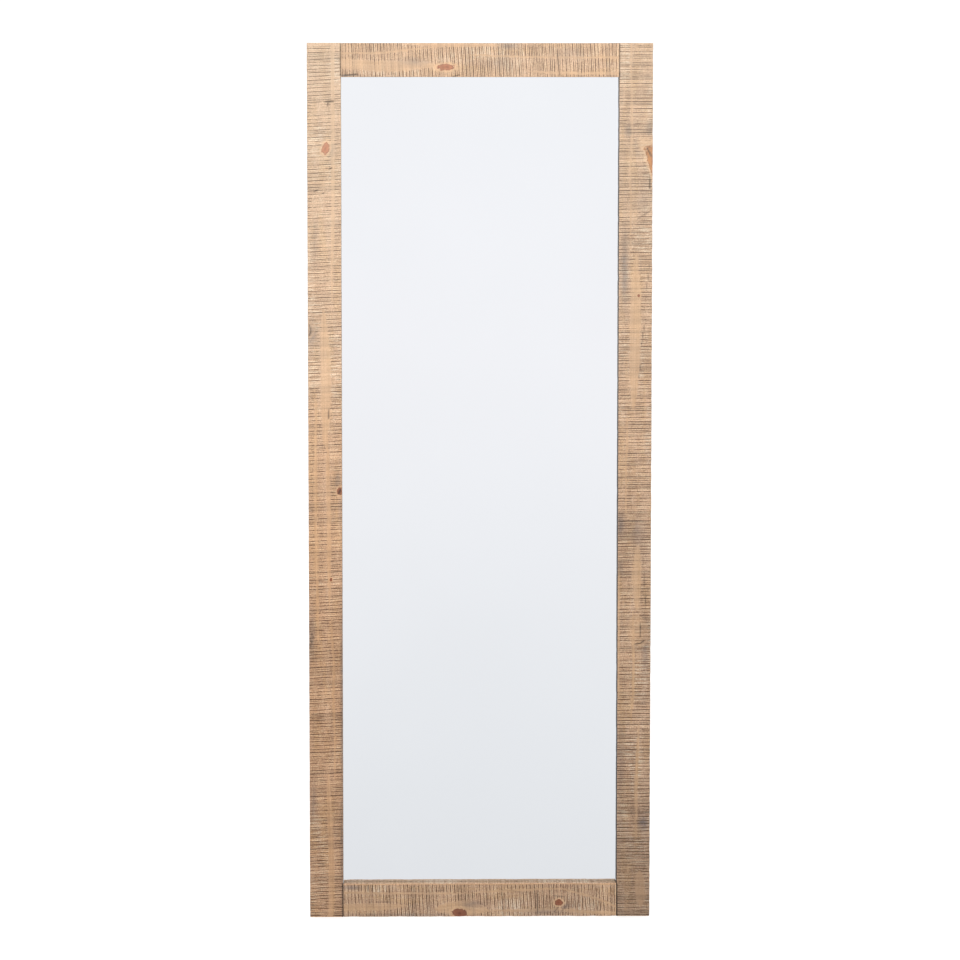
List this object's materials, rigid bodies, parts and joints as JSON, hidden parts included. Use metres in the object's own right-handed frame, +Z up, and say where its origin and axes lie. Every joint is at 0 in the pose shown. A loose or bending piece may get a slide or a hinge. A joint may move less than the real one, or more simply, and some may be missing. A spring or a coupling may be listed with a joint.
{
  "type": "cheval floor mirror",
  "caption": "Full-length floor mirror: rough-sawn wooden frame round a plain mirror, leaning back on a hinged folding easel stand with slotted stays.",
  "frame": {"origin": "on the floor, under the middle of the mirror's footprint with the stand open", "axes": "+Z up, -Y out of the front of the mirror, +X to the right of a person who looks into it"},
  "size_m": [0.705, 0.458, 1.7891],
  "materials": {
    "reclaimed_pine": "matte",
    "planed_pine": "matte",
    "beech": "matte",
    "mirror": "polished",
    "hardboard": "matte",
    "zinc_steel": "satin",
    "rubber": "matte"
  },
  "bodies": {
    "mirror_frame": {"left_stile": "reclaimed_pine", "right_stile": "reclaimed_pine", "top_rail": "reclaimed_pine", "bottom_rail": "reclaimed_pine", "batten_left": "planed_pine", "batten_right": "planed_pine", "batten_top": "planed_pine", "batten_bottom": "planed_pine", "hinge_rail": "planed_pine", "dowel_bottom_left_outer": "beech", "dowel_bottom_left_inner": "beech", "dowel_bottom_right_outer": "beech", "dowel_bottom_right_inner": "beech", "dowel_top_left_outer": "beech", "dowel_top_left_inner": "beech", "dowel_top_right_outer": "beech", "dowel_top_right_inner": "beech", "mirror_glass": "mirror", "backing_board": "hardboard", "corner_plate_bottom_left": "zinc_steel", "corner_plate_bottom_right": "zinc_steel", "corner_plate_top_left": "zinc_steel", "corner_plate_top_right": "zinc_steel", "rail_screw_left_lower": "zinc_steel", "rail_screw_left_upper": "zinc_steel", "rail_screw_right_lower": "zinc_steel", "rail_screw_right_upper": "zinc_steel", "bracket_screw_left_lower": "zinc_steel", "bracket_screw_left_upper": "zinc_steel", "bracket_screw_right_lower": "zinc_steel", "bracket_screw_right_upper": "zinc_steel", "hinge_frame_leaf_left": "zinc_steel", "hinge_frame_leaf_right": "zinc_steel", "hinge_pin_left": "zinc_steel", "hinge_pin_right": "zinc_steel", "stay_bracket_left": "zinc_steel", "stay_bracket_right": "zinc_steel", "stay_rivet_left": "zinc_steel", "stay_rivet_right": "zinc_steel", "setting_block_left": "rubber", "setting_block_right": "rubber", "frame_foot_left": "rubber", "frame_foot_right": "rubber", "bumper_left": "rubber", "bumper_right": "rubber"},
    "stand": {"stand_leg_left": "planed_pine", "stand_leg_right": "planed_pine", "stand_top_rail": "planed_pine", "stand_middle_rail": "planed_pine", "stand_bottom_rail": "planed_pine", "hinge_stand_leaf_left": "zinc_steel", "hinge_stand_leaf_right": "zinc_steel", "stay_stud_left": "zinc_steel", "stay_stud_right": "zinc_steel", "leg_pad_left": "rubber", "leg_pad_right": "rubber"},
    "stay_left": {"stay_bar_left": "zinc_steel"},
    "stay_right": {"stay_bar_right": "zinc_steel"}
  },
  "joints": [
    {"name": "stand_fold", "type": "hinge", "parent": "mirror_frame", "child": "stand", "pos_m": [0, 0.03675, 1.23179], "axis": [1, 0, 0], "range_deg": [-18, 0]},
    {"name": "stay_swing_left", "type": "hinge", "parent": "mirror_frame", "child": "stay_left", "pos_m": [-0.2655, -0.03517, 0.87869], "axis": [1, 0, 0], "range_deg": [0, 16.9]},
    {"name": "stay_swing_right", "type": "hinge", "parent": "mirror_frame", "child": "stay_right", "pos_m": [0.2655, -0.03517, 0.87869], "axis": [1, 0, 0], "range_deg": [0, 16.9]}
  ],
  "couplings": [
    {"joint": "stay_swing_left", "follows": "stand_fold", "ratio": -0.928},
    {"joint": "stay_swing_right", "follows": "stand_fold", "ratio": -0.928}
  ]
}
